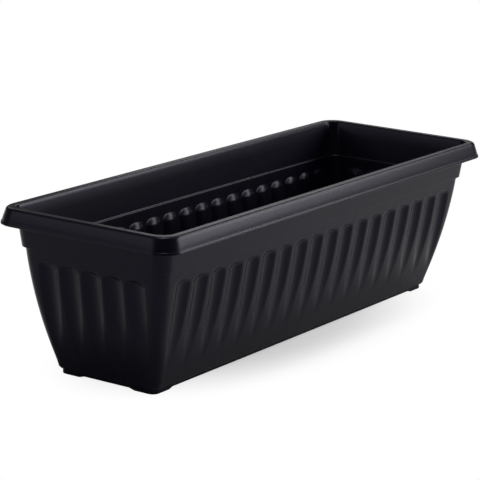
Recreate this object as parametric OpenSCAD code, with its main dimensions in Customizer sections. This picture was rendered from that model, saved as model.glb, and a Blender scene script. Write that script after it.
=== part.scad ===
/* [Overall] */
// Length over the rim
rim_l = 600; // [420:5:900]
// Width over the rim
rim_w = 210; // [190:1:300]
// Height from the ground to the top of the rim
height = 167.5; // [140:0.5:230]
// Thickness of the moulded wall
wall = 2.5; // [1.8:0.1:3.2]

/* [Rim] */
// Height of the sloping face that hangs from the rim
fascia_h = 16.5; // [12:0.5:22]
// How far the sloping face leans in from its lower edge to its upper edge
fascia_lean = 3.8; // [2:0.1:5]
// Height of the bead along the lower edge of the face
bead_h = 2.8; // [1:0.1:4]
// How far the bead stands out from the face
bead_step = 0.4; // [0.2:0.1:0.8]
// Radius between the sloping face and the flat lip
lip_round = 3.0; // [2:0.1:3.5]
// Distance from the outside of the rim to the inner edge of the flat lip
lip_in = 12.7; // [12:0.1:17]
// Corner radius of the rim, on its lower outer edge
rim_r = 23.5; // [18:0.5:30]
// Corner radius of the lip, on its inner edge
lip_r = 15; // [10:0.5:17]

/* [Band] */
// Distance from the top of the rim down to the step under the plain band
band_drop = 39.3; // [30:0.1:50]
// Inset of the band from the outside of the rim, at the step
band_in = 17.4; // [16:0.1:20]
// Draft of the band, as the inset that it loses between the step and the rim
band_draft = 2.6; // [0:0.1:3]
// Width of the step under the band
step_w = 2.6; // [1.5:0.1:4]
// Corner radius of the band
band_r = 14; // [10:0.5:17]

/* [Body] */
// Inset of the foot of the wall from the outside of the rim
foot_in = 45; // [34:0.5:52]
// How far the wall bulges out past a straight line, halfway down
bulge = 3.1; // [0:0.1:5]
// Corner radius at the foot of the wall
foot_r = 10.2; // [7:0.1:13]

/* [Flutes] */
// Width of a flute across its widest part
flute_w = 22; // [16:0.2:24]
// Narrowest plain strip left between two flutes on the long sides
side_land = 6.0; // [4:0.1:9]
// Narrowest plain strip left between two flutes on the short ends
end_land = 3.2; // [3:0.1:9]
// Depth of a flute at its upper end
flute_depth = 3.6; // [2:0.1:6]
// Distance from the step down to the upper end of a flute
flute_drop = 11; // [5:0.5:20]
// Height of the pointed lower end of a flute above the ground
flute_tip = 32; // [24:1:60]
// Height of the rounded upper end of a flute
flute_cap = 6.5; // [5:0.5:12]
// How long a flute keeps its depth on the way down, as the power of its run-out curve
flute_run = 2.6; // [1.5:0.1:4]
// Distance from the end of a long side's flat to the centre of its last flute, at the tips
side_margin = 6.4; // [4:0.1:12]
// The same distance on the short ends
end_margin = 4.8; // [4:0.1:12]

/* [Base] */
// Height of the foot of the wall above the ground
plinth_top = 6; // [5:0.1:9]
// How far the plinth lies in from the foot of the wall
plinth_in = 2.7; // [1.5:0.1:5]
// Corner radius of the plinth
plinth_r = 7.5; // [5:0.1:10]
// Height of the four corner feet
foot_h = 1.8; // [1:0.1:2.5]
// Length of a foot along each side
foot_l = 30; // [20:1:40]
// Length of the slope at the end of a foot
foot_slope = 6; // [3:0.5:10]
// Thickness of the floor
floor_t = 3; // [2:0.1:3.5]

/* [Drainage] */
// Distance from the end of the flat floor to the centre of the nearest drain hole
drain_margin = 53; // [20:1:70]
// Diameter of a drain hole
drain_d = 14; // [10:0.5:18]
// Gap between a plug's stem and its hole, all round
plug_gap = 0.1; // [0.05:0.01:0.15]
// Width of the flange of a plug beyond its stem
plug_brim = 4; // [3:0.5:6]
// Thickness of the flange
plug_flange_t = 2; // [1.5:0.1:3]
// Gap between the lower end of a plug's stem and the ground
plug_ground_gap = 1; // [0.4:0.1:2]
// Thickness of the stem's tubular wall
plug_wall = 2; // [1.2:0.1:2.5]
// Width of the finger tab on a plug
tab_w = 12; // [9:0.5:14]
// Height of the finger tab above the flange
tab_h = 9; // [7:0.5:14]
// Thickness of the finger tab
tab_t = 3; // [2:0.1:4]

/* [Hidden] */
$fn = 64;

moulding_black = [0.08, 0.08, 0.085];
plug_black = [0.12, 0.12, 0.125];

// Segments in each rounded corner
corner_steps = 5;
// Places across a flute where its section is sampled, from one edge to the other
flute_places = [-1, -0.55, 0, 0.55, 1];
// Places along a flute from its tip to its full depth, closer together where it changes most
flute_runs = [0, 0.12, 0.32, 0.62, 1];
// Turns around the rounded upper end of a flute, in degrees
flute_cap_turns = [40, 66, 90];
// Share of the wall's thickness that the inside adds to the height of a rounded upper end
cap_skin = 0.4;
// Half width left to a flute where it runs out to nothing
flute_end_half = 1;
// Turns around the rounding between the rim's sloping face and its lip, in degrees
lip_turns = [0, 30, 60, 90];
// Number of drain holes along the middle of the floor, one for each plug in NODES
drain_count = 4;
// Plain wall kept between the last flute and a rounded corner
corner_clear = 0.3;
// Roundings too small to be driving sizes
edge = 0.5;

floor_z = foot_h + floor_t;
step_z = height - band_drop;
wall_top_in = band_in + step_w;
flute_top = step_z - flute_drop;
flute_full = flute_top - flute_cap;
half_l = rim_l / 2;
half_w = rim_w / 2;
// Radius of the round cutter that a flute's section follows
flute_r = (pow(flute_w / 2, 2) + pow(flute_depth, 2)) / (2 * flute_depth);

// Share of the way down the wall, from 0 under the step to 1 at its foot
function wall_share(z) = (step_z - z) / (step_z - plinth_top);
// Inset of the outside of the wall from the outside of the rim
function wall_in(z) =
    let (t = wall_share(z))
    wall_top_in + (foot_in - wall_top_in) * t - bulge * 4 * t * (1 - t);
// Corner radius of the outside of the wall, before the flutes limit it
function wall_r(z) = band_r - edge + (foot_r - band_r + edge) * wall_share(z);
// Half the flat length of a side at a height, for a half size of the rim
function flat_half(half, z) = half - wall_in(z) - wall_r(z);

// Centres of the outermost flutes, on the long sides and on the ends
side_reach = flat_half(half_l, flute_tip) - side_margin;
end_reach = flat_half(half_w, flute_tip) - end_margin;
side_gaps = floor(2 * side_reach / (flute_w + side_land));
end_gaps = floor(2 * end_reach / (flute_w + end_land));
function flute_centres(k) =
    let (n = k % 2 == 0 ? side_gaps : end_gaps, reach = k % 2 == 0 ? side_reach : end_reach)
    [for (i = [0:n]) -reach + 2 * reach * i / n];

// Depth of a flute below its rounded upper end, as it runs out towards its tip
function run_depth(z) =
    let (t = (z - flute_tip) / (flute_full - flute_tip))
    flute_depth * (1 - pow(1 - t, flute_run));
// Half width of a round-bottomed groove or rib of radius r where it is d deep
function groove_half(d, r) = sqrt(max(d * (2 * r - d), pow(flute_end_half, 2)));
// Depth at a place u across a groove of half width a and depth d
function groove_depth(u, a, d) =
    d <= 0 ? 0 : let (r = (a * a + d * d) / (2 * d)) sqrt(max(r * r - u * u, 0)) - (r - d);

// A level is [inset, height, corner radius, flute half width, flute depth]. Half width 0 means no flutes.
function plain(inset, z, r) = [inset, z, r, 0, 0];
// Largest corner radius that keeps the flutes on the flat of both sides
function clear_r(z, a) =
    min(half_l - wall_in(z) - side_reach, half_w - wall_in(z) - end_reach) - a - corner_clear;
function fluted(z, skin, a, d) =
    [wall_in(z) + skin, z, min(wall_r(z), clear_r(z, a)) - skin, a, d];
// Levels of one skin of the fluted wall, from the tips up
function flute_levels(skin) =
    let (r = flute_r + skin, cap = flute_cap + cap_skin * skin)
    concat(
        [for (t = flute_runs) let (z = flute_tip + (flute_full - flute_tip) * t, d = run_depth(z))
            fluted(z, skin, groove_half(d, r), d)],
        [for (q = flute_cap_turns) let (c = cos(q), z = flute_full + cap * sin(q))
            fluted(z, skin, max(groove_half(flute_depth, r) * c, flute_end_half), flute_depth * c)]);

// Corner radius of the rim at an inset from its outside
function rim_corner(inset) = rim_r + (lip_r - rim_r) * inset / lip_in;
neck_top_in = band_in - band_draft;
lip_z = height - wall;
inner_top_in = lip_in + wall - edge;
neck_in = inner_top_in - wall;
low_z = (plinth_top + flute_tip) / 2;
ledge_z = step_z + wall / 2;
plinth_wall_in = foot_in + plinth_in;
// Inset of the flat floor's edge, inside the trough
floor_in = plinth_wall_in + wall + edge * 3;
drain_pitch = 2 * (half_l - floor_in - drain_margin) / (drain_count - 1);

// The moulding's skin as levels: out from under the floor, up the outside, over the rim, down the inside
outside = concat(
    [plain(plinth_wall_in + edge, foot_h, plinth_r - edge),
     plain(plinth_wall_in, foot_h + edge, plinth_r),
     plain(plinth_wall_in, plinth_top, plinth_r),
     plain(foot_in + edge, plinth_top, foot_r - edge),
     plain(wall_in(plinth_top + edge), plinth_top + edge, wall_r(plinth_top + edge)),
     plain(wall_in(low_z), low_z, wall_r(low_z))],
    flute_levels(0),
    [plain(wall_top_in, step_z, band_r - edge),
     plain(band_in, step_z + edge, band_r),
     plain(neck_top_in, height - fascia_h, band_r),
     plain(neck_in, lip_z, band_r),
     plain(fascia_lean + wall, lip_z, rim_corner(fascia_lean + wall)),
     plain(wall, height - fascia_h, rim_corner(wall)),
     plain(edge / 2, height - fascia_h, rim_corner(edge / 2)),
     plain(0, height - fascia_h + edge / 2, rim_r),
     plain(0, height - fascia_h + bead_h - bead_step, rim_r),
     plain(bead_step, height - fascia_h + bead_h, rim_corner(bead_step))],
    [for (q = lip_turns) let (inset = fascia_lean + lip_round * (1 - cos(q)))
        plain(inset, height - lip_round * (1 - sin(q)), rim_corner(inset))]);
inside = concat(
    [plain(lip_in, height, lip_r),
     plain(inner_top_in - edge, height - edge, lip_r - edge),
     plain(inner_top_in, height - wall, band_r - edge),
     plain(neck_top_in + wall, height - fascia_h, band_r - wall),
     plain(band_in + wall, ledge_z + edge, band_r - wall),
     plain(wall_top_in + wall, ledge_z, band_r - edge - wall)],
    [for (i = [len(flute_levels(wall)) - 1:-1:0]) flute_levels(wall)[i]],
    [plain(wall_in(low_z) + wall, low_z, wall_r(low_z) - wall),
     plain(foot_in + wall, plinth_top + wall, foot_r - wall),
     plain(plinth_wall_in + wall, plinth_top + wall - edge * 2, plinth_r - wall),
     plain(plinth_wall_in + wall + edge, floor_z + edge, plinth_r - wall - edge),
     plain(floor_in, floor_z, plinth_r - wall - edge)]);
levels = concat(outside, inside);

// Turns a point of the front side to side k, a quarter turn each
function turned(p, k) = k == 0 ? p : turned([-p[1], p[0]], k - 1);
// The points of one level, anticlockwise from above, starting at the front left corner
function loop(lv) =
    let (inset = lv[0], z = lv[1], r = lv[2], a = lv[3], d = lv[4])
    [for (k = [0:3])
        let (hx = (k % 2 == 0 ? half_l : half_w) - inset, hy = (k % 2 == 0 ? half_w : half_l) - inset)
        for (p = concat(
            [for (i = [0:corner_steps]) let (q = 180 + 90 * i / corner_steps)
                [r - hx + r * cos(q), r - hy + r * sin(q)]],
            a == 0 ? [] : [for (c = flute_centres(k), f = flute_places)
                [c + a * f, groove_depth(a * f, a, d) - hy]]))
            let (q = turned(p, k)) [q[0], q[1], z]];
// Where each point lies along the loop, so that two loops can be joined: 0 to 4 over the four sides
corner_share = 0.2;
function places(fluted) =
    [for (k = [0:3])
        for (s = concat(
            [for (i = [0:corner_steps]) corner_share * i / corner_steps],
            !fluted ? [] :
                let (n = len(flute_centres(k)) * len(flute_places))
                [for (i = [1:n]) corner_share + (1 - corner_share) * i / (n + 1)]))
            k + s];
plain_places = places(false);
fluted_places = places(true);
function places_of(lv) = lv[3] == 0 ? plain_places : fluted_places;
function at(list, i) = i < len(list) ? list[i] : 4;

// The sum of an edge's two ends, which orders the edges of two loops by their middles
function edge_place(list, i) = at(list, i) + at(list, i + 1);
// Whether the next triangle of a strip moves on along its first loop
function on_first(pa, pb, s) =
    s[1] >= len(pb) || (s[0] < len(pa) && (edge_place(pa, s[0]) < edge_place(pb, s[1])
        || (edge_place(pa, s[0]) == edge_place(pb, s[1]) && s[0] <= s[1])));
// Triangles between two loops whose first points are numbered a0 and b0
function strip(pa, pb, a0, b0) =
    let (na = len(pa), nb = len(pb))
    [for (s = [0, 0]; s[0] < na || s[1] < nb;
          s = on_first(pa, pb, s) ? [s[0] + 1, s[1]] : [s[0], s[1] + 1])
        let (a = a0 + s[0] % na, b = b0 + s[1] % nb)
        on_first(pa, pb, s) ? [a, b, a0 + (s[0] + 1) % na] : [a, b, b0 + (s[1] + 1) % nb]];

// Number of the first point of each level
level_sizes = [for (lv = levels) len(places_of(lv))];
level_starts = [for (i = 0, n = 0; i < len(levels); n = n + level_sizes[i], i = i + 1) n];
last_level = len(levels) - 1;

// The whole thin-walled shape: bowl, rim and plinth in one skin
module moulding() {
    faces = concat(
        [[for (i = [0:level_sizes[0] - 1]) i]],
        [for (i = [0:last_level - 1])
            each strip(places_of(levels[i]), places_of(levels[i + 1]), level_starts[i], level_starts[i + 1])],
        [[for (i = [level_sizes[last_level] - 1:-1:0]) level_starts[last_level] + i]]);
    polyhedron(points = [for (lv = levels) each loop(lv)], faces = faces, convexity = 12);
}

// Flat plate with one rounded corner at the origin side, for the two faces of a foot
module foot_plate(size, r) {
    $fn = 32;
    inner_r = edge * 4;
    for (p = [[r, r, r], [size - inner_r, inner_r, inner_r], [inner_r, size - inner_r, inner_r],
              [size - inner_r, size - inner_r, inner_r]])
        translate([p[0], p[1], 0]) cylinder(h = edge / 2, r = p[2]);
}

// One low corner foot, with its inner ends sloping up to the floor
module foot() {
    hull() {
        foot_plate(foot_l - foot_slope, plinth_r - edge * 2);
        translate([0, 0, foot_h + edge]) foot_plate(foot_l, plinth_r - edge * 2);
    }
}

module trough() {
    foot_in_total = plinth_wall_in + edge * 2;
    color(moulding_black)
    difference() {
        union() {
            moulding();
            for (sx = [0, 1], sy = [0, 1])
                mirror([sx, 0, 0]) mirror([0, sy, 0])
                translate([foot_in_total - half_l, foot_in_total - half_w, 0]) foot();
        }
        for (i = [1:drain_count])
            translate([drain_x(i), 0, 0]) cylinder(d = drain_d, h = floor_z + floor_t);
    }
}

function drain_x(i) = (i - (drain_count + 1) / 2) * drain_pitch;

// A push-in plug: tubular stem down through the floor, flange on the floor, finger tab on top
module drain_plug(i) {
    stem_r = drain_d / 2 - plug_gap;
    brim_r = drain_d / 2 + plug_brim;
    stem_z = plug_ground_gap;
    flange_z = floor_z + plug_flange_t;
    color(plug_black)
    translate([drain_x(i), 0, 0]) {
        rotate_extrude()
            polygon([[0, floor_z], [stem_r - plug_wall, floor_z], [stem_r - plug_wall, stem_z],
                     [stem_r - edge, stem_z], [stem_r, stem_z + edge], [stem_r, floor_z],
                     [brim_r, floor_z], [brim_r, flange_z - edge], [brim_r - edge, flange_z], [0, flange_z]]);
        translate([0, tab_t / 2, flange_z]) rotate([90, 0, 0]) linear_extrude(tab_t) {
            translate([-tab_w / 2, -edge]) square([tab_w, tab_h - tab_w / 2 + edge]);
            translate([0, tab_h - tab_w / 2]) circle(d = tab_w);
        }
    }
}

trough();
drain_plug(1);  // drain_plug_1
drain_plug(2);  // drain_plug_2
drain_plug(3);  // drain_plug_3
drain_plug(4);  // drain_plug_4
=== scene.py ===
"""Trough planter: the dressed model of a fluted plastic trough, with its studio and its camera.

Sizes are in millimetres unless a name or a note says otherwise. They become metres where a mesh is made.
The frame's own axes hold throughout: X along the trough, Y across it, Z up, the ground at zero.
"""

from __future__ import annotations

import logging
import math
from dataclasses import dataclass, field
from enum import Enum
from typing import Iterable, Mapping, Sequence

import bpy
import numpy as np
from mathutils import Matrix, Vector
from mathutils.geometry import delaunay_2d_cdt

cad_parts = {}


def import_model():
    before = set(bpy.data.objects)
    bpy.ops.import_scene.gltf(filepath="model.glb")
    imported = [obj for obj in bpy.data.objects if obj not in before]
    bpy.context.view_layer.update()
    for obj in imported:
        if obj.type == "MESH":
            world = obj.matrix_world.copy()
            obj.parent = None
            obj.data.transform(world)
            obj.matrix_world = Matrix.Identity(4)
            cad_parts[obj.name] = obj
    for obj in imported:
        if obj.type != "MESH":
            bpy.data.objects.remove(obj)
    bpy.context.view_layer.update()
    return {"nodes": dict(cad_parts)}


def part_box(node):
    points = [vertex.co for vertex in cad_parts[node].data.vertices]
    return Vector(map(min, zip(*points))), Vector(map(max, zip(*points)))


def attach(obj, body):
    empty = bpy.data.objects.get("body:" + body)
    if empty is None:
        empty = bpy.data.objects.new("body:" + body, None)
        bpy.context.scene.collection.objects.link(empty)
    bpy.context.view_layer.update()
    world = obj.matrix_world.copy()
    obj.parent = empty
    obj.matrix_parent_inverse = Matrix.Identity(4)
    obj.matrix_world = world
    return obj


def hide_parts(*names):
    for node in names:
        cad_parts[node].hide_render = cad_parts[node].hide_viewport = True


MM = 0.001
CREASE = 40.0

log = logging.getLogger("trough")


class Side(Enum):
    """The four walls, with the quarter turns that bring the front wall to each."""

    FRONT = 0
    RIGHT = 1
    BACK = 2
    LEFT = 3

    @property
    def is_long(self) -> bool:
        """Whether this is one of the two long walls."""
        return self.value % 2 == 0


class Skin(Enum):
    """The two faces of the moulded wall."""

    OUTSIDE = "outside"
    INSIDE = "inside"


@dataclass(frozen=True)
class Ring:
    """One level of the moulding's skin.

    Attributes:
        inset: distance in from the outside of the rim.
        height: height above the ground.
        corner: radius of the ring's four corners.
        fluted: whether the flutes may sink this level.
        skin: the face of the wall that the level lies on.
        footed: whether the level goes down with the corner feet.
    """

    inset: float
    height: float
    corner: float
    fluted: bool = False
    skin: Skin = Skin.OUTSIDE
    footed: bool = False


@dataclass(frozen=True)
class Satin:
    """A moulded black plastic with a fine satin grain.

    Attributes:
        name: the material's name.
        colour: linear colour of the plastic.
        roughness: mean roughness.
        mottle: how far the roughness wanders over the surface.
        grain: size of the grain, in millimetres.
        relief: height of the grain, in millimetres.
        sheen: strength of the plastic's gloss, where 0.5 is that of clear resin.
        tint: tint of that gloss.
        patch: size of the patches over which the roughness wanders, in millimetres.
        patch_detail: octaves of finer patches.
        grain_detail: octaves of finer grain.
        bump: strength with which the grain shows.
    """

    name: str
    colour: tuple[float, float, float]
    roughness: float
    mottle: float
    grain: float
    relief: float
    sheen: float
    tint: tuple[float, float, float] = (0.76, 0.74, 1.0)
    patch: float = 60.0
    patch_detail: float = 3.0
    grain_detail: float = 2.0
    bump: float = 0.6

    def material(self) -> bpy.types.Material:
        """Build the finish as a node material.

        Returns:
            The new material, which reads Object coordinates only.
        """
        made = bpy.data.materials.new(self.name)
        made.use_nodes = True
        made.diffuse_color = (*self.colour, 1.0)
        tree = made.node_tree
        shader = tree.nodes["Principled BSDF"]
        shader.inputs["Roughness"].default_value = self.roughness
        shader.inputs["Specular IOR Level"].default_value = self.sheen
        shader.inputs["Specular Tint"].default_value = (*self.tint, 1.0)
        shader.inputs["Base Color"].default_value = (*self.colour, 1.0)
        place = tree.nodes.new("ShaderNodeTexCoord").outputs["Object"]

        patches = self._noise(tree, place, 1 / (self.patch * MM), self.patch_detail)
        specks = self._noise(tree, place, 1 / (self.grain * MM), self.grain_detail)

        rough = tree.nodes.new("ShaderNodeMapRange")
        rough.inputs["To Min"].default_value = self.roughness - self.mottle
        rough.inputs["To Max"].default_value = self.roughness + self.mottle
        tree.links.new(patches, rough.inputs["Value"])
        tree.links.new(rough.outputs["Result"], shader.inputs["Roughness"])

        bump = tree.nodes.new("ShaderNodeBump")
        bump.inputs["Strength"].default_value = self.bump
        bump.inputs["Distance"].default_value = self.relief * MM
        tree.links.new(specks, bump.inputs["Height"])
        tree.links.new(bump.outputs["Normal"], shader.inputs["Normal"])
        return made

    @staticmethod
    def _noise(
        tree: bpy.types.NodeTree, place: bpy.types.NodeSocket, scale: float, detail: float
    ) -> bpy.types.NodeSocket:
        """Add a noise texture.

        Args:
            tree: the material's node tree.
            place: the coordinates that the noise reads.
            scale: noise cells in a metre.
            detail: octaves of finer noise.

        Returns:
            The noise's value socket.
        """
        noise = tree.nodes.new("ShaderNodeTexNoise")
        noise.inputs["Scale"].default_value = scale
        noise.inputs["Detail"].default_value = detail
        tree.links.new(place, noise.inputs["Vector"])
        return noise.outputs["Fac"]


MOULDING_PLASTIC = Satin(
    name="satin_black_moulding",
    colour=(0.0032, 0.003, 0.0062),
    roughness=0.28,
    mottle=0.03,
    grain=0.45,
    relief=0.012,
    sheen=0.1,
)
PLUG_PLASTIC = Satin(
    name="matt_black_plug",
    colour=(0.012, 0.012, 0.013),
    roughness=0.55,
    mottle=0.05,
    grain=0.6,
    relief=0.01,
    sheen=0.15,
)


@dataclass(frozen=True)
class Flutes:
    """The row of round-bottomed hollows that runs round the walls.

    Attributes:
        width: width of a flute across its widest part.
        depth: depth at its upper end.
        tip: height of its pointed lower end.
        full: height at which it has its full depth and its round end starts.
        cap: height of the round end.
        cap_wall: share of the wall's thickness that the inside adds to the round end's height.
        run: power of the curve by which it runs out towards its tip.
        softness: how far its rims are rounded over.
    """

    width: float = 22.0
    depth: float = 3.6
    tip: float = 32.0
    full: float = 110.7
    cap: float = 6.5
    cap_wall: float = 0.4
    run: float = 2.6
    softness: float = 2.0

    @property
    def section_radius(self) -> float:
        """Radius of the round cutter that a flute's section follows."""
        return ((self.width / 2) ** 2 + self.depth**2) / (2 * self.depth)

    def depth_at(self, height: float) -> float:
        """Depth in the middle of a flute, below its round end, at a height."""
        share = (height - self.tip) / (self.full - self.tip)
        return self.depth * (1 - (1 - min(max(share, 0.0), 1.0)) ** self.run)

    def half_width(self, height: float, wall: float) -> float:
        """Half the width of a flute at a height.

        Args:
            height: height above the ground.
            wall: extra radius of the face of the wall that is meant, nought on the outside.

        Returns:
            The half width, nought below the tip and above the round end.
        """
        radius = self.section_radius + wall
        depth = self.depth_at(height)
        round_share = max(height - self.full, 0.0) / (self.cap + self.cap_wall * wall)
        width = math.sqrt(max(depth * (2 * radius - depth), 0.0))
        return width * math.sqrt(max(1 - round_share**2, 0.0))


class FluteTree:
    """A Geometry Nodes tree that repeats one flute along every wall and sinks it.

    Attributes:
        SIZES: the tree's inputs for sizes, each with the field of Flutes that it takes and that field's unit.
    """

    SIZES = {
        "Width": ("width", MM),
        "Depth": ("depth", MM),
        "Tip": ("tip", MM),
        "Full": ("full", MM),
        "Cap": ("cap", MM),
        "Cap Wall": ("cap_wall", 1.0),
        "Run": ("run", 1.0),
        "Softness": ("softness", MM),
    }

    def __init__(self) -> None:
        """Start an empty tree with its named inputs."""
        self.tree = bpy.data.node_groups.new("sink_flutes", "GeometryNodeTree")
        face = self.tree.interface
        face.new_socket("Shell", in_out="INPUT", socket_type="NodeSocketGeometry")
        for name in self.SIZES:
            face.new_socket(name, in_out="INPUT", socket_type="NodeSocketFloat")
        face.new_socket("Finish", in_out="INPUT", socket_type="NodeSocketMaterial")
        face.new_socket("Shell", in_out="OUTPUT", socket_type="NodeSocketGeometry")
        self.given = self.tree.nodes.new("NodeGroupInput").outputs
        self._build()

    def _math(self, operation: str, *values: object) -> bpy.types.NodeSocket:
        """Add one Math node.

        Args:
            operation: the Math node's operation.
            values: its inputs in order, sockets or numbers.

        Returns:
            The node's value.
        """
        node = self.tree.nodes.new("ShaderNodeMath")
        node.operation = operation
        for slot, value in zip(node.inputs, values):
            if isinstance(value, bpy.types.NodeSocket):
                self.tree.links.new(value, slot)
            else:
                slot.default_value = value
        return node.outputs["Value"]

    def _attribute(self, name: str, kind: str = "FLOAT") -> bpy.types.NodeSocket:
        """Add a node that reads one of the shell's named attributes.

        Args:
            name: the attribute's name.
            kind: its data type.

        Returns:
            The attribute's value.
        """
        node = self.tree.nodes.new("GeometryNodeInputNamedAttribute")
        node.data_type = kind
        node.inputs["Name"].default_value = name
        return node.outputs["Attribute"]

    def _across(self) -> bpy.types.NodeSocket:
        """Find each point's distance from the middle of the nearest flute on its wall.

        Returns:
            The distance along the wall.
        """
        along, reach, pitch = (self._attribute(n) for n in ("along", "reach", "pitch"))
        counted = self._math("ROUND", self._math("DIVIDE", self._math("ADD", along, reach), pitch))
        last = self._math("DIVIDE", self._math("MULTIPLY", reach, 2.0), pitch)
        kept = self._math("MINIMUM", self._math("MAXIMUM", counted, 0.0), last)
        middle = self._math("SUBTRACT", self._math("MULTIPLY", kept, pitch), reach)
        return self._math("SUBTRACT", along, middle)

    def _depth(self) -> bpy.types.NodeSocket:
        """Work out how deep a flute is at each point.

        Returns:
            The depth, nought away from the flutes.
        """
        given = self.given
        wall = self._attribute("wall")
        split = self.tree.nodes.new("ShaderNodeSeparateXYZ")
        self.tree.links.new(self.tree.nodes.new("GeometryNodeInputPosition").outputs[0], split.inputs[0])
        height = split.outputs["Z"]

        half = self._math("MULTIPLY", given["Width"], 0.5)
        deep = self._math("POWER", given["Depth"], 2.0)
        squares = self._math("ADD", self._math("MULTIPLY", half, half), deep)
        cutter = self._math("DIVIDE", squares, self._math("MULTIPLY", given["Depth"], 2.0))
        radius = self._math("ADD", cutter, wall)
        chord = self._math("SUBTRACT", self._math("MULTIPLY", radius, 2.0), given["Depth"])
        widest = self._math("SQRT", self._math("MULTIPLY", given["Depth"], chord))

        rise = self._math("SUBTRACT", given["Full"], given["Tip"])
        share = self._math("DIVIDE", self._math("SUBTRACT", height, given["Tip"]), rise)
        left = self._math("SUBTRACT", 1.0, self._math("MINIMUM", share, 1.0))
        run_out = self._math("SUBTRACT", 1.0, self._math("POWER", left, given["Run"]))
        middle = self._math("MULTIPLY", given["Depth"], run_out)

        above = self._math("MAXIMUM", self._math("SUBTRACT", height, given["Full"]), 0.0)
        cap = self._math("ADD", given["Cap"], self._math("MULTIPLY", wall, given["Cap Wall"]))
        over = self._math("DIVIDE", above, cap)
        lift = self._math("MULTIPLY", over, widest)
        across = self._across()
        away = self._math("ADD", self._math("MULTIPLY", across, across), self._math("MULTIPLY", lift, lift))
        left_over = self._math("SUBTRACT", self._math("MULTIPLY", radius, radius), away)
        inside = self._math("MAXIMUM", left_over, 0.0)
        sunk = self._math("SUBTRACT", self._math("SQRT", inside), self._math("SUBTRACT", radius, middle))
        soft = self._math("SMOOTH_MAX", sunk, 0.0, given["Softness"])
        return self._math("MULTIPLY", soft, self._attribute("fluted"))

    def _build(self) -> None:
        """Join the parts of the tree."""
        nodes, links = self.tree.nodes, self.tree.links
        push = nodes.new("ShaderNodeVectorMath")
        push.operation = "SCALE"
        links.new(self._attribute("inward", "FLOAT_VECTOR"), push.inputs[0])
        links.new(self._depth(), push.inputs["Scale"])
        move = nodes.new("GeometryNodeSetPosition")
        links.new(self.given["Shell"], move.inputs["Geometry"])
        links.new(push.outputs[0], move.inputs["Offset"])
        real = nodes.new("GeometryNodeRealizeInstances")
        links.new(move.outputs[0], real.inputs[0])
        coat = nodes.new("GeometryNodeSetMaterial")
        links.new(real.outputs[0], coat.inputs["Geometry"])
        links.new(self.given["Finish"], coat.inputs["Material"])
        links.new(coat.outputs[0], nodes.new("NodeGroupOutput").inputs[0])

    def apply(self, shell: bpy.types.Object, flutes: Flutes, finish: bpy.types.Material) -> None:
        """Sink the flutes into a shell and leave it a plain mesh.

        Args:
            shell: the plain shell, with its named attributes.
            flutes: the sizes of the flutes.
            finish: the material of the result.
        """
        given: dict[str, object] = {"Finish": finish}
        for name, (size, unit) in self.SIZES.items():
            given[name] = getattr(flutes, size) * unit
        sink = shell.modifiers.new("sink_flutes", "NODES")
        sink.node_group = self.tree
        for item in self.tree.interface.items_tree:
            if item.in_out == "INPUT" and item.name in given:
                sink[item.identifier] = given[item.name]
        shell.update_tag()
        graph = bpy.context.evaluated_depsgraph_get()
        plain = bpy.data.meshes.new_from_object(shell.evaluated_get(graph), depsgraph=graph)
        shell.modifiers.remove(sink)
        shell.data = plain
        shell.data.name = shell.name


def arc(
    inset: float, height: float, radius: float, start: float, end: float, steps: int
) -> list[tuple[float, float]]:
    """Points along an arc in the plane of inset and height.

    Args:
        inset: inset of the arc's centre.
        height: height of the arc's centre.
        radius: radius of the arc.
        start: angle of its first point in degrees, nought towards the middle of the trough, 90 upwards.
        end: angle of its last point.
        steps: number of segments.

    Returns:
        The points as pairs of inset and height.
    """
    turns = (math.radians(start + (end - start) * i / steps) for i in range(steps + 1))
    return [(inset + radius * math.cos(q), height + radius * math.sin(q)) for q in turns]


def new_object(name: str, mesh: bpy.types.Mesh) -> bpy.types.Object:
    """Link a mesh into the scene as an object at the origin.

    Args:
        name: the object's name.
        mesh: its mesh.

    Returns:
        The new object.
    """
    made = bpy.data.objects.new(name, mesh)
    bpy.context.scene.collection.objects.link(made)
    return made


def finish_shading(piece: bpy.types.Object) -> None:
    """Shade a piece smooth, with creases kept and flat faces left flat.

    Args:
        piece: the piece.
    """
    piece.data.shade_smooth()
    piece.data.set_sharp_from_angle(angle=math.radians(CREASE))
    weigh = piece.modifiers.new("flat_faces", "WEIGHTED_NORMAL")
    weigh.keep_sharp = True


def turned(x: float, y: float, side: Side) -> tuple[float, float]:
    """Turn a point or direction of the front wall to another wall.

    Args:
        x: its place along the front wall.
        y: its place across the trough.
        side: the other wall.

    Returns:
        The turned point or direction.
    """
    for _ in range(side.value):
        x, y = -y, x
    return x, y


@dataclass(frozen=True)
class PointFacts:
    """What the flutes need to know at a point of a wall.

    Attributes:
        along: place along the wall from its middle.
        reach: place of the wall's last flute.
        pitch: distance between two flutes.
        wall: extra radius of this face of the wall.
        fluted: 1 where the flutes may sink the point.
        inward: direction into the trough.
    """

    along: float = 0.0
    reach: float = 1.0
    pitch: float = 1.0
    wall: float = 0.0
    fluted: float = 0.0
    inward: tuple[float, float] = (0.0, 0.0)


PLAIN = PointFacts()


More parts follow.
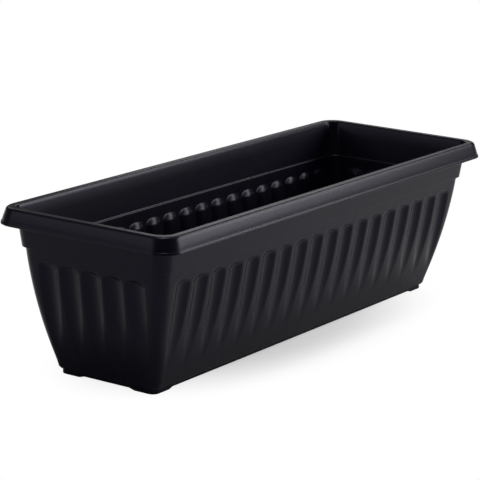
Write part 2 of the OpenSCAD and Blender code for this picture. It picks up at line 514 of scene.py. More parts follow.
class MeshParts:
    """Points and faces of a mesh under construction, in millimetres."""

    def __init__(self) -> None:
        """Start with nothing."""
        self.points: list[tuple[float, float, float]] = []
        self.faces: list[list[int]] = []
        self.facts: list[PointFacts] = []

    def point(self, x: float, y: float, z: float, facts: PointFacts = PLAIN) -> int:
        """Add a point.

        Args:
            x: its place along the trough.
            y: its place across the trough.
            z: its height.
            facts: what the flutes need to know there.

        Returns:
            The point's number.
        """
        self.points.append((x, y, z))
        self.facts.append(facts)
        return len(self.points) - 1

    def join_loops(self, first: list[int], second: list[int]) -> None:
        """Add the faces between two closed loops with as many points each.

        Args:
            first: the numbers of the points of one loop.
            second: the numbers of the points of the other.
        """
        count = len(first)
        for i in range(count):
            j = (i + 1) % count
            self.faces.append([first[i], first[j], second[j], second[i]])

    def mesh(self, name: str, with_facts: bool = True) -> bpy.types.Mesh:
        """Make the mesh, in metres.

        Args:
            name: the mesh's name.
            with_facts: whether to store what the flutes read.

        Returns:
            The mesh.
        """
        made = bpy.data.meshes.new(name)
        made.from_pydata([[c * MM for c in p] for p in self.points], [], self.faces)
        if with_facts:
            for field_name in ("along", "reach", "pitch", "wall"):
                values = np.array([getattr(f, field_name) for f in self.facts], np.float32) * MM
                made.attributes.new(field_name, "FLOAT", "POINT").data.foreach_set("value", values)
            mask = np.array([f.fluted for f in self.facts], np.float32)
            made.attributes.new("fluted", "FLOAT", "POINT").data.foreach_set("value", mask)
            inward = np.array([(*f.inward, 0.0) for f in self.facts], np.float32).ravel()
            made.attributes.new("inward", "FLOAT_VECTOR", "POINT").data.foreach_set("vector", inward)
        made.update()
        made.validate()
        return made


@dataclass
class Trough:
    """The one-piece moulding: hanging rim, plain band, fluted walls, plinth, floor and feet.

    Attributes:
        length: length over the rim.
        width: width over the rim.
        height: height from the ground to the lip.
        drains: places of the drain holes along the floor.
        flutes: the sizes of the flutes.
        wall: thickness of the moulding.
        fascia_h: height of the sloping face that hangs from the rim.
        bead_h: height of the bead along its lower edge.
        face_round: power of the curve of the face, where 1 is straight.
        lean: inset of the centre of the lip's outer rounding.
        round_r: radius of that rounding.
        rim_r: corner radius of the rim outside.
        lip_r: corner radius of the rim inside.
        lip_in: inset of the lip's inner edge.
        band_drop: drop from the lip to the step under the band.
        band_in: inset of the band at the step.
        neck_in: inset of the band at the rim.
        step_w: width of the step.
        band_r: corner radius of the band.
        foot_in: inset of the foot of the wall.
        foot_r: corner radius at the foot of the wall.
        bulge: how far the wall bulges out, halfway down.
        plinth_top: height of the plinth's upper edge.
        plinth_in: inset of the plinth.
        plinth_r: corner radius of the plinth.
        foot_h: height of the corner feet.
        foot_l: length of a foot along each side.
        foot_slope: length of the slope at a foot's end.
        floor_top: height of the floor inside.
        drain_r: radius of a drain hole.
        side_margin: distance from a long wall's flat end to its last flute, at the tips.
        end_margin: the same on the short walls.
        side_land: narrowest plain strip between flutes on the long walls.
        end_land: the same on the short walls.

    The values in capitals set the roundings and the places of the mesh's levels and columns:
        EDGE: rounding of the moulding's outer edges.
        UNDERSIDE_IN, RIB_IN: how far in from the plinth its underside and its lowered edge start.
        PLINTH_EDGE: places of the plinth's upper edge, from its face and its top.
        SKIRT_UP, INNER_UP: how far over the plinth the levels of the wall start, outside and inside.
        STEP_UNDER, STEP_BACK: how far under the step the wall's last level lies, and the step's own setback.
        TUCK: how much smaller the wall's corner radius is than the band's.
        NECK_BACK: how far under the lip's inner edge the band's upper end lies.
        UNDER_LIP_R, LIP_EDGE_R, LEDGE_R: roundings under the lip, at its inner edge and at the ledge.
        HOLLOW_BACK: how far behind the lip's outer rounding the one under it lies.
        HEM: places of the hanging rim's inner lower edge, from the inside of its wall and its lower edge.
        BEAD_R, BEAD_TILT: rounding under the bead, and the angle at which it meets the bead's face.
        GROOVE: places over the bead, from the outside of the rim and the bead's upper edge.
        FACE_START: the same for the lower end of the face.
        FACE_TILT: angle at which the lip's rounding meets the face.
        LIP_FLAT, LIP_ROUND: how far out from the lip's inner edge its flat ends and its rounding is centred.
        LIP_FOOT: where that rounding runs out into the wall, in from the lip's edge and down from its top.
        LEDGE: places over the ledge, from the inside of the band and the ledge.
        FLOOR_EDGE_IN: inset of the flat of the floor.
        TURN, TURN_R: places of the inside where the wall turns into the floor, and the last rounding there.
        TURN_CORNER, TURN_IN, TURN_SHRINK: its corner radius, the inset that has it and the loss per inset.
        FEW, SOME, MANY: segments of small, middling and large roundings.
        CORNER_STEPS, HOLE_STEPS: segments of a corner of the moulding and points round a drain hole.
        TIP_LEVELS, TIP_LEAD: levels round the flutes' tips, and how far below them the plain wall's end.
        CAP_TURNS, CAP_OVER: angles of the levels on the round ends, and how far over them the last lies.
        PLAIN_STEPS, BODY_STEPS: steps between the levels below the tips and along the flutes.
        CORNER_CLEAR: least width between a corner and the last flute.
        LEAST_FLAT, LEAST_PLAIN: least flat beyond the last column, on the flutes and elsewhere.
        MIN_HALF: least half width of the group of columns that follows a flute.
        ACROSS_FLUTE, ACROSS_LAND, ACROSS_END: shares at which the columns cross flutes, lands and wall ends.
        PAD_PROUD: how far the feet's pads stand out below the plinth's lowered edge.
        PAD_IN, PAD_R: how far in from the plinth's faces the pads lie, and their inner corners' radius.
        PAD_BURIED: how far the pads go up into the floor.
        PAD_EDGE: levels of their rounded lower edge: height, loss of length and how much further in.
    """

    length: float
    width: float
    height: float
    drains: Sequence[float]
    flutes: Flutes
    wall: float = 2.5
    fascia_h: float = 16.5
    bead_h: float = 2.8
    face_round: float = 1.1
    lean: float = 8.0
    round_r: float = 3.8
    rim_r: float = 23.5
    lip_r: float = 15.0
    lip_in: float = 12.7
    band_drop: float = 39.3
    band_in: float = 17.4
    neck_in: float = 14.8
    step_w: float = 2.6
    band_r: float = 14.0
    foot_in: float = 45.0
    foot_r: float = 10.2
    bulge: float = 3.1
    plinth_top: float = 6.0
    plinth_in: float = 47.7
    plinth_r: float = 7.5
    foot_h: float = 1.8
    foot_l: float = 30.0
    foot_slope: float = 6.0
    floor_top: float = 4.8
    drain_r: float = 7.0
    side_margin: float = 6.4
    end_margin: float = 4.8
    side_land: float = 6.0
    end_land: float = 3.2

    EDGE = 0.6
    UNDERSIDE_IN = 2.8
    RIB_IN = 2.5
    PLINTH_EDGE = ((0.0, -0.3), (0.05, 0.0))
    SKIRT_UP = 1.5
    INNER_UP = 3.5
    STEP_UNDER = 0.4
    STEP_BACK = 0.3
    TUCK = 0.5
    NECK_BACK = 0.2
    UNDER_LIP_R = 1.5
    LIP_EDGE_R = 1.6
    LEDGE_R = 0.7
    HOLLOW_BACK = 1.0
    HEM = ((0.1, 0.5), (-0.4, 0.0))
    BEAD_R = 0.7
    BEAD_TILT = 165.0
    GROOVE = ((0.5, -0.45), (0.6, -0.2), (0.78, 0.0), (1.0, 0.06))
    FACE_START = (1.15, 0.3)
    FACE_TILT = 164.0
    LIP_FLAT = 2.7
    LIP_ROUND = 0.3
    LIP_FOOT = (2.3, 4.0)
    LEDGE = ((-0.1, 0.9), (0.3, 0.1))
    FLOOR_EDGE_IN = 51.7
    TURN = ((47.9, 8.7), (48.9, 8.0), (49.9, 7.5), (50.2, 6.8), (50.3, 6.0))
    TURN_R = 1.2
    TURN_CORNER = 5.4
    TURN_IN = 49.0
    TURN_SHRINK = 0.6
    FEW = 3
    SOME = 4
    MANY = 6
    CORNER_STEPS = 10
    HOLE_STEPS = 48
    TIP_LEVELS = (-5.5, -2.5, 0.0, 2.5, 5.5, 9.0, 13.0)
    TIP_LEAD = 9.0
    CAP_TURNS = (14, 28, 41, 53, 64, 74, 82, 90)
    CAP_OVER = 1.2
    PLAIN_STEPS = 3
    BODY_STEPS = 12
    CORNER_CLEAR = 0.3
    LEAST_FLAT = 0.25
    LEAST_PLAIN = 1.5
    MIN_HALF = 4.0
    ACROSS_FLUTE = (-1.0, -0.86, -0.62, -0.32, 0.0, 0.32, 0.62, 0.86, 1.0)
    ACROSS_LAND = (0.14, 0.38, 0.62, 0.86)
    ACROSS_END = (0.4, 0.8)
    PAD_PROUD = 0.06
    PAD_IN = 1.1
    PAD_R = 2.0
    PAD_BURIED = 1.0
    PAD_EDGE = ((0.35, 0.0, 0.0), (0.1, 0.15, 0.12), (0.0, 0.3, 0.35))

    @property
    def step_z(self) -> float:
        """Height of the step under the band."""
        return self.height - self.band_drop

    def share(self, height: float) -> float:
        """Share of the way down the wall, nought under the step and one at its foot."""
        return (self.step_z - height) / (self.step_z - self.plinth_top)

    def wall_inset(self, height: float) -> float:
        """Inset of the outside of the wall at a height.

        Args:
            height: height above the ground.

        Returns:
            The inset of a straight taper, less a bulge that is fullest halfway.
        """
        t = self.share(height)
        top = self.band_in + self.step_w
        return top + (self.foot_in - top) * t - self.bulge * 4 * t * (1 - t)

    def wall_corner(self, height: float) -> float:
        """Corner radius of the outside of the wall at a height."""
        top = self.band_r - self.TUCK
        return top + (self.foot_r - top) * self.share(height)

    def half(self, side: Side) -> float:
        """Half the size of the rim along a wall."""
        return (self.length if side.is_long else self.width) / 2

    def reach(self, side: Side) -> float:
        """Distance from the middle of a wall to its last flute.

        Args:
            side: the wall.

        Returns:
            The distance, which leaves the margin to the corner at the flutes' tips.
        """
        margin = self.side_margin if side.is_long else self.end_margin
        tip = self.flutes.tip
        return self.half(side) - self.wall_inset(tip) - self.wall_corner(tip) - margin

    def gaps(self, side: Side) -> int:
        """Number of gaps between the flutes of a wall."""
        land = self.side_land if side.is_long else self.end_land
        return math.floor(2 * self.reach(side) / (self.flutes.width + land))

    def pitch(self, side: Side) -> float:
        """Distance between two flutes of a wall."""
        return 2 * self.reach(side) / self.gaps(side)

    def rim_corner(self, inset: float) -> float:
        """Corner radius of the rim at an inset."""
        return self.rim_r + (self.lip_r - self.rim_r) * inset / self.lip_in

    def wall_ring(self, height: float, skin: Skin) -> Ring:
        """A level of the fluted wall.

        Args:
            height: height of the level.
            skin: the face of the wall.

        Returns:
            The level, with a corner that leaves room for the last flutes.
        """
        thick = self.wall if skin is Skin.INSIDE else 0.0
        room = min(self.half(s) - self.reach(s) for s in (Side.FRONT, Side.RIGHT))
        clear = room - self.wall_inset(height) - self.flutes.half_width(height, thick) - self.CORNER_CLEAR
        corner = min(self.wall_corner(height), clear) - thick
        return Ring(self.wall_inset(height) + thick, height, corner, True, skin)

    def wall_rings(self, low: float, skin: Skin) -> list[Ring]:
        """The levels of one face of the fluted wall, upwards.

        Args:
            low: height of the lowest level.
            skin: the face of the wall.

        Returns:
            The levels, closer together at the flutes' tips and round ends.
        """
        flutes = self.flutes
        cap = flutes.cap + (flutes.cap_wall * self.wall if skin is Skin.INSIDE else 0.0)
        tip, full = flutes.tip, flutes.full
        plain_rise = (tip - self.TIP_LEAD - low) / self.PLAIN_STEPS
        plain = [low + plain_rise * i for i in range(self.PLAIN_STEPS + 1)]
        tips = [tip + rise for rise in self.TIP_LEVELS]
        body_rise = (full - tips[-1]) / self.BODY_STEPS
        body = [tips[-1] + body_rise * i for i in range(1, self.BODY_STEPS + 1)]
        ends = [full + cap * math.sin(math.radians(q)) for q in self.CAP_TURNS]
        over = [full + cap + self.CAP_OVER]
        return [self.wall_ring(z, skin) for z in plain + tips + body + ends + over]

    def outside(self) -> list[Ring]:
        """The levels from under the floor, up the outside and over to the lip.

        Returns:
            The levels in order.
        """
        rings = self._base() + self.wall_rings(self.plinth_top + self.SKIRT_UP, Skin.OUTSIDE)
        edge, step, corner = self.EDGE, self.step_z, self.band_r - self.TUCK
        below = step - self.STEP_UNDER
        rings.append(Ring(self.wall_inset(below), below, corner))
        rings.append(Ring(self.band_in + self.step_w - self.STEP_BACK, step, corner))
        band = arc(self.band_in + edge, step + edge, edge, 270, 184, self.FEW)
        low, under, r = self.height - self.fascia_h, self.height - self.wall, self.UNDER_LIP_R
        band += [(self.neck_in, low), (self.lip_in - self.NECK_BACK, under - r)]
        band += arc(self.lip_in - r, under - r, r, 30, 90, 2)
        rings += [Ring(i, z, self.band_r) for i, z in band]
        return rings + [Ring(i, z, self.rim_corner(i)) for i, z in self._rim()]

    def _base(self) -> list[Ring]:
        """The levels of the underside's edge and the plinth.

        Returns:
            The levels, of which those of the plinth's lower edge go down with the feet.
        """
        edge, foot, low, out = self.EDGE, self.plinth_top, self.foot_h, self.plinth_in
        under = [(self.FLOOR_EDGE_IN, low), (out + self.UNDERSIDE_IN, low)]
        rib = [(out + self.RIB_IN, low)] + arc(out + edge, low + edge, edge, 270, 180, self.FEW)
        base = [(out + inset, foot + rise) for inset, rise in self.PLINTH_EDGE]
        base += arc(self.wall_inset(foot + edge) + edge, foot + edge, edge, 270, 185, self.FEW)
        rows = ((under, False), (rib, True), (base, False))
        return [Ring(i, z, self.plinth_r - (i - out), footed=footed) for row, footed in rows for i, z in row]

    def _rim(self) -> list[tuple[float, float]]:
        """The section of the hanging rim, from its underside to the lip's outer rounding.

        Returns:
            Its points as pairs of inset and height.
        """
        low, under, r = self.height - self.fascia_h, self.height - self.wall, self.UNDER_LIP_R
        section = arc(self.lean + self.HOLLOW_BACK, under - r, r, 90, 175, self.FEW)
        section += [(self.wall + inset, low + rise) for inset, rise in self.HEM]
        section += arc(self.BEAD_R, low + self.BEAD_R, self.BEAD_R, 270, self.BEAD_TILT, self.SOME)
        bead = low + self.bead_h
        section += [(inset, bead + rise) for inset, rise in self.GROOVE]
        upper = arc(self.lean, self.height - self.round_r, self.round_r, self.FACE_TILT, 90, self.MANY)
        face_in, face_z = self.FACE_START[0], bead + self.FACE_START[1]
        rise, back = upper[0][1] - face_z, upper[0][0] - face_in
        shares = [i / self.MANY for i in range(self.MANY)]
        section += [(face_in + back * s**self.face_round, face_z + rise * s) for s in shares]
        return section + upper

    def inside(self) -> list[Ring]:
        """The levels from the lip down the inside to the floor.

        Returns:
            The levels in order.
        """
        top, low, r = self.height, self.height - self.fascia_h, self.LIP_EDGE_R
        lip = [(self.lip_in - self.LIP_FLAT, top)]
        lip += arc(self.lip_in - self.LIP_ROUND, top - r, r, 90, 8, self.SOME)
        rings = [Ring(i, z, self.lip_r - max(i - self.lip_in, 0.0)) for i, z in lip]
        inner = [(self.lip_in + self.LIP_FOOT[0], top - self.LIP_FOOT[1]), (self.neck_in + self.wall, low)]
        back, ledge, r = self.band_in + self.wall, self.step_z + self.wall / 2, self.LEDGE_R
        inner += [(back + inset, ledge + rise) for inset, rise in self.LEDGE]
        inner += arc(back + self.step_w - r, ledge - r, r, 90, 5, self.SOME)
        rings += [Ring(i, z, self.band_r - self.wall, False, Skin.INSIDE) for i, z in inner]
        rings += reversed(self.wall_rings(self.plinth_top + self.INNER_UP, Skin.INSIDE))
        turn = list(self.TURN)
        turn += arc(self.FLOOR_EDGE_IN, self.floor_top + self.TURN_R, self.TURN_R, 188, 270, self.FEW)
        for inset, height in turn:
            corner = self.TURN_CORNER - (inset - self.TURN_IN) * self.TURN_SHRINK
            rings.append(Ring(inset, height, corner, False, Skin.INSIDE))
        return rings

    def flat_columns(self, side: Side, ring: Ring) -> list[float]:
        """Places of the mesh's columns along the flat of a wall at a level.

        Args:
            side: the wall.
            ring: the level.

        Returns:
            The places along the wall, measured from its middle. They follow the rims of the flutes,
            drawn together where the wall has grown too short for them, and the ends of the feet.
        """
        reach, pitch = self.reach(side), self.pitch(side)
        thick = self.wall if ring.skin is Skin.INSIDE else 0.0
        half = max(self.flutes.half_width(ring.height, thick) if ring.fluted else 0.0, self.MIN_HALF)
        flat = self.half(side) - ring.inset - ring.corner
        least = self.LEAST_FLAT if ring.fluted and ring.height > self.flutes.tip else self.LEAST_PLAIN
        draw = min(1.0, (flat - least) / (reach + half))
        places: list[float] = []
        for i in range(self.gaps(side) + 1):
            middle = -reach + pitch * i
            places += [draw * (middle + half * s) for s in self.ACROSS_FLUTE]
            if i < self.gaps(side):
                places += [draw * (middle + half + (pitch - 2 * half) * s) for s in self.ACROSS_LAND]
        last = draw * (reach + half)
        ends = [last + (flat - last) * (1 - s) for s in self.ACROSS_END]
        places = [-p for p in ends] + places + list(reversed(ends))
        return self._footed_places(side, places) if ring.footed else places

    def _footed_places(self, side: Side, places: list[float]) -> list[float]:
        """Move the nearest columns of a wall to where the slopes of its feet start and end.

        Args:
            side: the wall.
            places: the places of its columns.

        Returns:
            The places with those columns moved.
        """
        moved = list(places)
        edge = self.half(side) - self.plinth_in
        for mark in (edge - self.foot_l, edge - self.foot_l + self.foot_slope):
            for target in (mark, -mark):
                nearest = min(range(len(moved)), key=lambda n: abs(moved[n] - target))
                moved[nearest] = target
        return moved

    def foot_drop(self, x: float, y: float) -> float:
        """How far the plinth's lower edge goes down at a point, to become a corner foot.

        Args:
            x: place of the point along the trough.
            y: its place across the trough.

        Returns:
            The drop, nought between the feet.
        """
        from_x = self.half(Side.FRONT) - self.plinth_in - abs(x)
        from_y = self.half(Side.RIGHT) - self.plinth_in - abs(y)
        share = (self.foot_l - max(from_x, from_y)) / self.foot_slope
        return (self.foot_h - self.PAD_PROUD) * min(max(share, 0.0), 1.0)

    def build_shell(self) -> MeshParts:
        """Build the plain shell, with what the flutes need to know.

        Returns:
            Its points and faces.
        """
        parts = MeshParts()
        rings = self.outside() + self.inside()
        loops = [self._loop(parts, ring) for ring in rings]
        for lower, upper in zip(loops, loops[1:]):
            parts.join_loops(lower, upper)
        self._close_floor(parts, loops[0], loops[-1])
        for sx in (1, -1):
            for sy in (1, -1):
                self._add_foot(parts, sx, sy)
        return parts

    def _loop(self, parts: MeshParts, ring: Ring) -> list[int]:
        """Add the points of one level, anticlockwise from above.

        Args:
            parts: the mesh under construction.
            ring: the level.

        Returns:
            The numbers of its points.
        """
        numbers: list[int] = []

        def add(x: float, y: float, facts: PointFacts = PLAIN) -> None:
            """Add one point of the level, let down where it belongs to a foot."""
            drop = self.foot_drop(x, y) if ring.footed else 0.0
            numbers.append(parts.point(x, y, ring.height - drop, facts))

        thick = self.wall if ring.skin is Skin.INSIDE else 0.0
        for side in Side:
            other = Side((side.value + 1) % len(Side))
            hx, hy, r = self.half(side) - ring.inset, self.half(other) - ring.inset, ring.corner
            for i in range(self.CORNER_STEPS + 1):
                q = math.radians(180 + 90 * i / self.CORNER_STEPS)
                add(*turned(r - hx + r * math.cos(q), r - hy + r * math.sin(q), side))
            reach, pitch, inward = self.reach(side), self.pitch(side), turned(0.0, 1.0, side)
            for along in self.flat_columns(side, ring):
                facts = PointFacts(along, reach, pitch, thick, float(ring.fluted), inward)
                add(*turned(along, -hy, side), facts)
        return numbers

    def _close_floor(self, parts: MeshParts, under: list[int], over: list[int]) -> None:
        """Close both faces of the floor round the drain holes.

        Args:
            parts: the mesh under construction.
            under: the outermost loop of the underside.
            over: the outermost loop of the upper side.
        """
        rim = [Vector(parts.points[n][:2]) for n in under]
        holes, below, above = [], [], []
        for x in self.drains:
            turns = [2 * math.pi * i / self.HOLE_STEPS for i in range(self.HOLE_STEPS)]
            ring = [Vector((x + self.drain_r * math.cos(q), self.drain_r * math.sin(q))) for q in turns]
            holes.append(ring)
            below.append([parts.point(p.x, p.y, self.foot_h) for p in ring])
            above.append([parts.point(p.x, p.y, self.floor_top) for p in ring])
        flat = rim + [p for ring in holes for p in ring]
        edges, first = [], 0
        for loop in [rim] + holes:
            count = len(loop)
            edges += [(first + i, first + (i + 1) % count) for i in range(count)]
            first += count
        spots, _, faces, _, _, _ = delaunay_2d_cdt(flat, edges, [], 0, 1e-5)
        given = np.array(flat)
        nearest = [int(np.argmin(((given - np.array(p)) ** 2).sum(axis=1))) for p in spots]
        lows = under + [n for ring in below for n in ring]
        highs = over + [n for ring in above for n in ring]
        for face in faces:
            corners = [nearest[n] for n in face]
            middle = sum((flat[n] for n in corners), Vector((0.0, 0.0))) / len(corners)
            if any((middle - Vector((x, 0.0))).length < self.drain_r for x in self.drains):
                continue
            parts.faces.append([highs[n] for n in corners])
            parts.faces.append([lows[n] for n in reversed(corners)])
        for low, high in zip(below, above):
            parts.join_loops(high, low)

    def _add_foot(self, parts: MeshParts, sx: int, sy: int) -> None:
        """Add the solid pad of one corner foot, inside the plinth's lowered edge.

        Args:
            parts: the mesh under construction.
            sx: side of the middle that it stands on along X, 1 or -1.
            sy: side of the middle that it stands on along Y.
        """
        corner_x, corner_y = (self.half(side) - self.plinth_in for side in (Side.FRONT, Side.RIGHT))
        flat = self.foot_l - self.foot_slope
        levels = [(self.foot_h + rise, self.foot_l, self.PAD_IN) for rise in (self.PAD_BURIED, 0.0)]
        levels += [(z, flat - shorter, self.PAD_IN + further) for z, shorter, further in self.PAD_EDGE]
        loops = []
        for z, size, inset in levels:
            outline = self._foot_outline(size, inset)
            if sx * sy < 0:
                outline.reverse()
            loops.append([parts.point(sx * (corner_x - u), sy * (corner_y - v), z) for u, v in outline])
        for upper, lower in zip(loops, loops[1:]):
            parts.join_loops(lower, upper)
        parts.faces.append(list(reversed(loops[-1])))
        parts.faces.append(loops[0])

    def _foot_outline(self, size: float, inset: float) -> list[tuple[float, float]]:
        """Outline of a foot at a level, measured inwards from the plinth's corner.

        Args:
            size: length of the foot along each side.
            inset: how far the level lies in from the plinth's faces.

        Returns:
            The outline as pairs of distances from the two outer faces.
        """
        points: list[tuple[float, float]] = []
        corners = (
            (inset, inset, self.plinth_r - inset, 180),
            (size, inset, self.PAD_R, 270),
            (size, size, self.PAD_R, 0),
            (inset, size, self.PAD_R, 90),
        )
        for u, v, r, start in corners:
            cu = u + r if u < size else u - r
            cv = v + r if v < size else v - r
            points += arc(cu, cv, r, start, start + 90, self.MANY)
        return points

    def build(self, finish: bpy.types.Material) -> bpy.types.Object:
        """Build the whole moulding as one piece.

        Args:
            finish: its material.

        Returns:
            The finished object.
        """
        shell = new_object("trough_moulding", self.build_shell().mesh("trough_moulding"))
        FluteTree().apply(shell, self.flutes, finish)
        finish_shading(shell)
        return shell


@dataclass
class LiftPlug:
    """A lift-out drain plug: tubular stem, flange and finger tab.

    Attributes:
        number: which plug it is, from 1.
        place: its place along the floor.
        floor_top: height of the floor that its flange lies on.
        stem_r: radius of the stem.
        stem_low: height of the stem's lower end.
        brim_r: radius of the flange.
        flange_t: thickness of the flange.
        bore_r: radius of the hollow in the stem.
        tab_w: width of the finger tab.
        tab_h: height of the finger tab.
        tab_t: thickness of the finger tab.

    The values in capitals set the fine detail and the mesh:
        EDGE, BEVEL: rounding of its edges, and how far in the middle of that rounding lies.
        NICK: bevel of the flange's lower edge.
        STEM_LEAD, BLIND: bevels at the open and at the blind end of the stem's hollow.
        DISH: how far out from the tab's end the shallow dish round it starts and is deepest, and its depth.
        TAB_SLICES: the tab's slices, as shares of half its thickness, each with how far it shrinks.
        TAB_SUNK: how far the tab goes into the flange.
        STEPS, TAB_STEPS: points round a circle and segments of the tab's round end.
    """

    number: int
    place: float
    floor_top: float
    stem_r: float = 6.9
    stem_low: float = 1.0
    brim_r: float = 11.0
    flange_t: float = 2.0
    bore_r: float = 4.9
    tab_w: float = 12.0
    tab_h: float = 9.0
    tab_t: float = 3.0

    EDGE = 0.5
    BEVEL = 0.15
    NICK = 0.2
    STEM_LEAD = 0.3
    BLIND = 0.4
    DISH = (2.2, 1.8, 0.3)
    TAB_SLICES = ((-1.0, 0.6), (-0.88, 0.18), (-0.6, 0.0), (0.6, 0.0), (0.88, 0.18), (1.0, 0.6))
    TAB_SUNK = 0.8
    STEPS = 48
    TAB_STEPS = 16

    @property
    def node(self) -> str:
        """Name of the solid that the plug stands for."""
        return f"drain_plug_{self.number}"

    @property
    def body(self) -> str:
        """Name of the body that the plug rides on."""
        return f"plug_{self.number}"

    def _section(self) -> list[tuple[float, float]]:
        """Radii and heights of the turned part, from its hollow to the middle of its top.

        Returns:
            The points as pairs of radius and height.
        """
        low, seat, top = self.stem_low, self.floor_top, self.floor_top + self.flange_t
        bore, stem, brim, tab = self.bore_r, self.stem_r, self.brim_r, self.tab_w / 2
        edge, bevel, nick = self.EDGE, self.BEVEL, self.NICK
        dish_start, dish_end, dish_depth = self.DISH
        hollow = [(bore - self.BLIND, seat), (bore, seat - self.BLIND)]
        hollow += [(bore, low + self.STEM_LEAD), (bore + self.STEM_LEAD, low)]
        outer = [(stem - edge, low), (stem - bevel, low + bevel), (stem, low + edge), (stem, seat)]
        flange = [(brim - nick, seat), (brim, seat + nick), (brim, top - edge)]
        flange += [(brim - bevel, top - bevel), (brim - edge, top)]
        dish = [(tab + dish_start, top), (tab + dish_end, top - dish_depth)]
        return hollow + outer + flange + dish

    def build(self, finish: bpy.types.Material) -> bpy.types.Object:
        """Build the plug.

        Args:
            finish: its material.

        Returns:
            The finished object, in its hole.
        """
        parts = MeshParts()
        loops = []
        for r, z in self._section():
            turns = (2 * math.pi * i / self.STEPS for i in range(self.STEPS))
            loops.append([parts.point(self.place + r * math.cos(q), r * math.sin(q), z) for q in turns])
        for lower, upper in zip(loops, loops[1:]):
            parts.join_loops(lower, upper)
        parts.faces.append(list(reversed(loops[0])))
        parts.faces.append(loops[-1])
        self._add_tab(parts)
        name = f"lift_plug_{self.number}"
        plug = new_object(name, parts.mesh(name, with_facts=False))
        plug.data.materials.append(finish)
        finish_shading(plug)
        return plug

    def _add_tab(self, parts: MeshParts) -> None:
        """Add the upright finger tab, with its edges rounded.

        Args:
            parts: the mesh under construction.
        """
        top = self.floor_top + self.flange_t
        base, shoulder = top - self.TAB_SUNK, top + self.tab_h - self.tab_w / 2
        loops = []
        for y, shrink in self.TAB_SLICES:
            r = self.tab_w / 2 - shrink
            outline = [(-r, base), (r, base)] + arc(0.0, shoulder, r, 0, 180, self.TAB_STEPS)
            loops.append([parts.point(self.place + x, y * self.tab_t / 2, z) for x, z in outline])
        for near, far in zip(loops, loops[1:]):
            parts.join_loops(far, near)
        parts.faces.append(loops[0])
        parts.faces.append(list(reversed(loops[-1])))


@dataclass(frozen=True)
class Lamp:
    """A soft rectangular lamp that looks at a point.

    Attributes:
        name: the lamp's name.
        place: where it hangs, in metres.
        size: its width and height, in metres.
        power: its power, in watts.
        aim: the point that it faces, in metres.
    """

    name: str
    place: tuple[float, float, float]
    size: tuple[float, float]
    power: float
    aim: tuple[float, float, float] = (0.0, 0.0, 0.1)

    def hang(self) -> None:
        """Add the lamp to the scene."""
        light = bpy.data.lights.new(self.name, "AREA")
        light.shape = "RECTANGLE"
        light.size, light.size_y = self.size
        light.energy = self.power
        lamp = bpy.data.objects.new(self.name, light)
        lamp.location = self.place
        lamp.rotation_euler = (Vector(self.aim) - Vector(self.place)).to_track_quat("-Z", "Y").to_euler()
        bpy.context.scene.collection.objects.link(lamp)


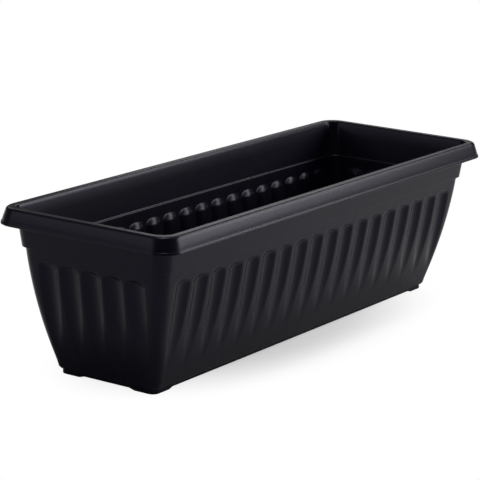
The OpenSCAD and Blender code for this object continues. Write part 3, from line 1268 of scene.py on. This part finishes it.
@dataclass
class Studio:
    """The pale floor, the lamps, the world and the camera.

    Attributes:
        floor_colour: linear colour of the floor.
        floor_half: half the size of the floor, in metres.
        floor_roughness: roughness of the floor.
        floor_sheen: strength of the floor's gloss.
        glow: for each kind of ray that sees the floor, the share of plain white close to the trough and the
            two distances from the middle between which that share grows to 1, in metres across.
        squeeze: how much a metre along the trough counts in those distances, beside one across it.
        world_strength: strength of the even light from all round.
        camera_place: where the camera stands, in metres.
        azimuth: turn of the view round Z in degrees, nought along +Y.
        elevation: how far the camera looks down, in degrees.
        roll: how far it is tipped about its own axis, in degrees.
        focal_pixels: focal length in pixels of the picture.
        picture: width of the picture in pixels.
        sensor: width of the camera's sensor, in millimetres.
        far: distance beyond which the camera sees nothing, in metres.
        lamps: the lamps.
    """

    floor_colour: tuple[float, float, float] = (0.82, 0.82, 0.82)
    floor_half: float = 6.0
    floor_roughness: float = 0.9
    floor_sheen: float = 0.1
    glow: Mapping[str, tuple[float, float, float]] = field(
        default_factory=lambda: {
            "Is Camera Ray": (0.42, 0.06, 0.155),
            "Is Glossy Ray": (0.0, 0.12, 0.4),
            "Is Transmission Ray": (0.0, 0.12, 0.4),
        }
    )
    squeeze: float = 0.5
    world_strength: float = 0.1
    camera_place: tuple[float, float, float] = (-1.86, -1.24057, 0.6546)
    azimuth: float = -55.861
    elevation: float = 14.085
    roll: float = 1.541
    focal_pixels: float = 2214.4
    picture: float = 480.0
    sensor: float = 36.0
    far: float = 50.0
    lamps: tuple[Lamp, ...] = (
        Lamp("rim_softbox", (1.43, -1.56, 0.7), (1.15, 0.5), 25.0),
        Lamp("shoulder_softbox", (1.59, -1.15, 1.1), (1.2, 0.5), 9.5),
        Lamp("corner_softbox", (1.69, -0.62, 1.36), (1.0, 0.6), 10.0),
        Lamp("high_softbox", (1.03, 0.0, 2.04), (0.9, 0.8), 4.0),
        Lamp("top_softbox", (0.0, 0.0, 2.3), (0.5, 0.4), 17.0),
        Lamp("wide_top_softbox", (0.0, 0.0, 2.4), (1.2, 0.9), 12.0),
        Lamp("lip_softbox", (1.73, 1.0, 1.03), (0.8, 0.7), 3.0),
        Lamp("back_softbox", (0.95, 1.65, 1.2), (0.8, 0.7), 1.8),
        Lamp("left_softbox", (-1.86, 0.93, 0.83), (1.5, 0.6), 7.5),
        Lamp("end_softbox", (-1.42, 0.82, 1.57), (1.2, 0.8), 3.5),
    )

    def build(self) -> None:
        """Set up the whole studio."""
        self._floor()
        self._world()
        for lamp in self.lamps:
            lamp.hang()
        self._camera()
        bpy.context.scene.view_settings.view_transform = "Standard"

    def _floor(self) -> None:
        """Lay the pale floor, white where it is seen and plain where it lights the object."""
        corners = ((-1, -1), (1, -1), (1, 1), (-1, 1))
        mesh = bpy.data.meshes.new("studio_floor")
        points = [(x * self.floor_half, y * self.floor_half, 0.0) for x, y in corners]
        mesh.from_pydata(points, [], [(0, 1, 2, 3)])
        floor = new_object("studio_floor", mesh)
        paint = bpy.data.materials.new("pale_floor")
        paint.use_nodes = True
        shader = paint.node_tree.nodes["Principled BSDF"]
        shader.inputs["Base Color"].default_value = (*self.floor_colour, 1.0)
        shader.inputs["Roughness"].default_value = self.floor_roughness
        shader.inputs["Specular IOR Level"].default_value = self.floor_sheen
        self._whiten(paint, shader)
        floor.data.materials.append(paint)

    def _whiten(self, paint: bpy.types.Material, shader: bpy.types.Node) -> None:
        """Mix plain white into the floor for the rays that see it, and keep the shadow near the trough.

        Args:
            paint: the floor's material.
            shader: its lit surface.
        """
        nodes, links = paint.node_tree.nodes, paint.node_tree.links
        path = nodes.new("ShaderNodeLightPath")
        squeezed = nodes.new("ShaderNodeMapping")
        squeezed.inputs["Scale"].default_value = (self.squeeze, 1.0, 1.0)
        links.new(nodes.new("ShaderNodeTexCoord").outputs["Object"], squeezed.inputs["Vector"])
        away = nodes.new("ShaderNodeVectorMath")
        away.operation = "LENGTH"
        links.new(squeezed.outputs[0], away.inputs[0])
        amounts = []
        for kind, (near, inner, outer) in self.glow.items():
            share = nodes.new("ShaderNodeMapRange")
            share.interpolation_type = "SMOOTHSTEP"
            share.inputs["From Min"].default_value, share.inputs["From Max"].default_value = inner, outer
            share.inputs["To Min"].default_value = near
            share.inputs["To Max"].default_value = 1.0
            links.new(away.outputs["Value"], share.inputs["Value"])
            seen = nodes.new("ShaderNodeMath")
            seen.operation = "MULTIPLY"
            links.new(share.outputs["Result"], seen.inputs[0])
            links.new(path.outputs[kind], seen.inputs[1])
            amounts.append(seen.outputs[0])
        amount = amounts[0]
        for other in amounts[1:]:
            either = nodes.new("ShaderNodeMath")
            either.operation = "MAXIMUM"
            links.new(amount, either.inputs[0])
            links.new(other, either.inputs[1])
            amount = either.outputs[0]
        white = nodes.new("ShaderNodeEmission")
        mixed = nodes.new("ShaderNodeMixShader")
        links.new(amount, mixed.inputs[0])
        links.new(shader.outputs[0], mixed.inputs[1])
        links.new(white.outputs[0], mixed.inputs[2])
        links.new(mixed.outputs[0], nodes["Material Output"].inputs["Surface"])
        paint.cycles.emission_sampling = "NONE"

    def _world(self) -> None:
        """Light the scene evenly from all round."""
        world = bpy.data.worlds.new("studio_world")
        world.use_nodes = True
        background = world.node_tree.nodes["Background"]
        background.inputs["Color"].default_value = (1.0, 1.0, 1.0, 1.0)
        background.inputs["Strength"].default_value = self.world_strength
        bpy.context.scene.world = world

    def _camera(self) -> None:
        """Stand the camera where the photograph was taken from."""
        a, e, r = (math.radians(v) for v in (self.azimuth, self.elevation, self.roll))
        back = Vector((math.sin(a) * math.cos(e), -math.cos(a) * math.cos(e), math.sin(e)))
        right = Vector((math.cos(a), math.sin(a), 0.0))
        up = back.cross(right)
        right, up = right * math.cos(r) + up * math.sin(r), up * math.cos(r) - right * math.sin(r)
        data = bpy.data.cameras.new("photo_camera")
        data.sensor_fit = "HORIZONTAL"
        data.sensor_width = self.sensor
        data.lens = self.focal_pixels / self.picture * self.sensor
        data.clip_end = self.far
        camera = bpy.data.objects.new("photo_camera", data)
        turn = Matrix((right, up, back)).transposed().to_4x4()
        camera.matrix_world = Matrix.Translation(self.camera_place) @ turn
        bpy.context.scene.collection.objects.link(camera)
        bpy.context.scene.camera = camera


def main() -> None:
    """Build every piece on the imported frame, then the studio."""
    logging.basicConfig(level=logging.INFO, format="%(name)s: %(message)s")
    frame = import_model()

    moulding_finish = MOULDING_PLASTIC.material()
    plug_finish = PLUG_PLASTIC.material()

    low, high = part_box("trough")
    plug_nodes = sorted(name for name in frame["nodes"] if name.startswith("drain_plug_"))
    middles = [sum(corner.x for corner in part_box(name)) / 2 / MM for name in plug_nodes]
    size = (high - low) / MM
    trough = Trough(size.x, size.y, size.z, middles, Flutes())
    moulding = trough.build(moulding_finish)
    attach(moulding, "trough")
    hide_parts("trough")
    log.info("%s: %d faces", moulding.name, len(moulding.data.polygons))

    for number, middle in enumerate(middles, start=1):
        plug = LiftPlug(number, middle, trough.floor_top)
        piece = plug.build(plug_finish)
        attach(piece, plug.body)
        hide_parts(plug.node)
        log.info("%s: %d faces", piece.name, len(piece.data.polygons))

    Studio().build()


if __name__ == "__main__":
    main()
